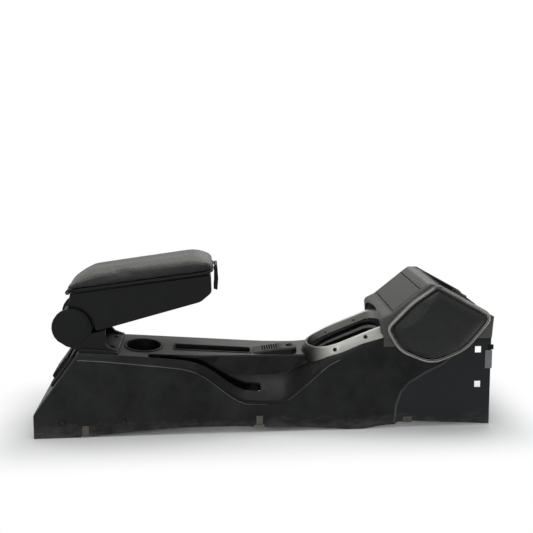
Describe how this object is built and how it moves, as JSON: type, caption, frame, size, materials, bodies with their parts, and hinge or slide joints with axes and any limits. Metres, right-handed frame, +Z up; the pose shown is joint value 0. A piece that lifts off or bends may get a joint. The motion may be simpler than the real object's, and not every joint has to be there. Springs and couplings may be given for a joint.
{
  "type": "car center console",
  "caption": "Moulded car centre console with gear-lever bezel, padded front tower, cup holder, trays, ashtrays and a folding armrest box with a padded lid.",
  "frame": {"origin": "centre of the bounding box at the level of the console's lowest edge", "axes": "+X towards the front of the car, +Y towards its left side, +Z up"},
  "size_m": [0.99, 0.2066, 0.3719],
  "materials": {
    "shell_black": "satin moulded black plastic with fine grain and light scuffs",
    "grained_grey": "grained charcoal plastic",
    "tower_grey": "satin grey plastic",
    "trim_grey": "smooth grey plastic trim",
    "bezel_silver": "painted grey plastic with a soft sheen",
    "soft_black": "grained black leatherette",
    "soft_grey": "grained dark grey leatherette",
    "steel": "dull zinc-plated steel",
    "foam": "grey felt strip",
    "mat_rubber": "black rubber mat"
  },
  "bodies": {
    "console": {"main_shell": "shell_black", "cup_liner": "shell_black", "tray_liner": "shell_black", "coin_holder": "shell_black", "shifter_bezel": "bezel_silver", "gate_frame": "shell_black", "bezel_screw_1": "steel", "bezel_screw_2": "steel", "bezel_screw_3": "steel", "bezel_screw_4": "steel", "side_screw_right_1": "steel", "side_screw_right_2": "steel", "side_screw_left_1": "steel", "side_screw_left_2": "steel", "clip_nut_right_1": "steel", "clip_nut_right_2": "steel", "clip_nut_left_1": "steel", "clip_nut_left_2": "steel", "slot_clip_right": "steel", "slot_clip_left": "steel", "foam_strip_right": "foam", "foam_strip_left": "foam", "front_clip_right": "shell_black", "front_clip_left": "shell_black", "tower_housing": "tower_grey", "ashtray_hinge_pin": "steel", "ashtray_bin": "shell_black", "tower_tray": "shell_black", "knee_trim_right": "trim_grey", "knee_trim_left": "trim_grey", "knee_pad_right": "soft_black", "knee_pad_left": "soft_black", "armrest_bracket": "grained_grey", "bracket_screw_1": "steel", "bracket_screw_2": "steel", "bracket_screw_3": "steel", "bracket_screw_4": "steel", "pivot_shaft": "steel", "pivot_cap_right": "grained_grey", "pivot_cap_left": "grained_grey", "rear_panel": "shell_black", "rear_panel_screw_1": "steel", "rear_panel_screw_2": "steel", "rear_ashtray_pin": "steel"},
    "armrest": {"armrest_box": "grained_grey", "box_mat": "mat_rubber", "pivot_bush_right": "trim_grey", "pivot_bush_left": "trim_grey", "lid_hinge_pin": "steel"},
    "lid": {"lid_base": "shell_black", "lid_pad": "soft_grey", "latch_pin": "steel", "latch_ear_right": "shell_black", "latch_ear_left": "shell_black"},
    "latch": {"lid_latch": "grained_grey"},
    "ashtray_flap": {"ashtray_door": "tower_grey"},
    "rear_ashtray": {"rear_ashtray": "shell_black"}
  },
  "joints": [
    {"name": "armrest_tilt", "type": "hinge", "parent": "console", "child": "armrest", "pos_m": [-0.413, 0, 0.23], "axis": [0, -1, 0], "range_deg": [0, 80]},
    {"name": "lid_open", "type": "hinge", "parent": "armrest", "child": "lid", "pos_m": [-0.41838, 0, 0.30468], "axis": [0, -1, 0], "range_deg": [0, 75]},
    {"name": "latch_pull", "type": "hinge", "parent": "lid", "child": "latch", "pos_m": [-0.11099, 0, 0.3477], "axis": [0, -1, 0], "range_deg": [0, 12], "stiffness_Nm_per_rad": 0.15},
    {"name": "ashtray_open", "type": "hinge", "parent": "console", "child": "ashtray_flap", "pos_m": [0.27331, 0, 0.26082], "axis": [0, -1, 0], "range_deg": [0, 70]},
    {"name": "rear_ashtray_open", "type": "hinge", "parent": "console", "child": "rear_ashtray", "pos_m": [-0.45618, 0, 0.11085], "axis": [0, -1, 0], "range_deg": [0, 30]}
  ]
}
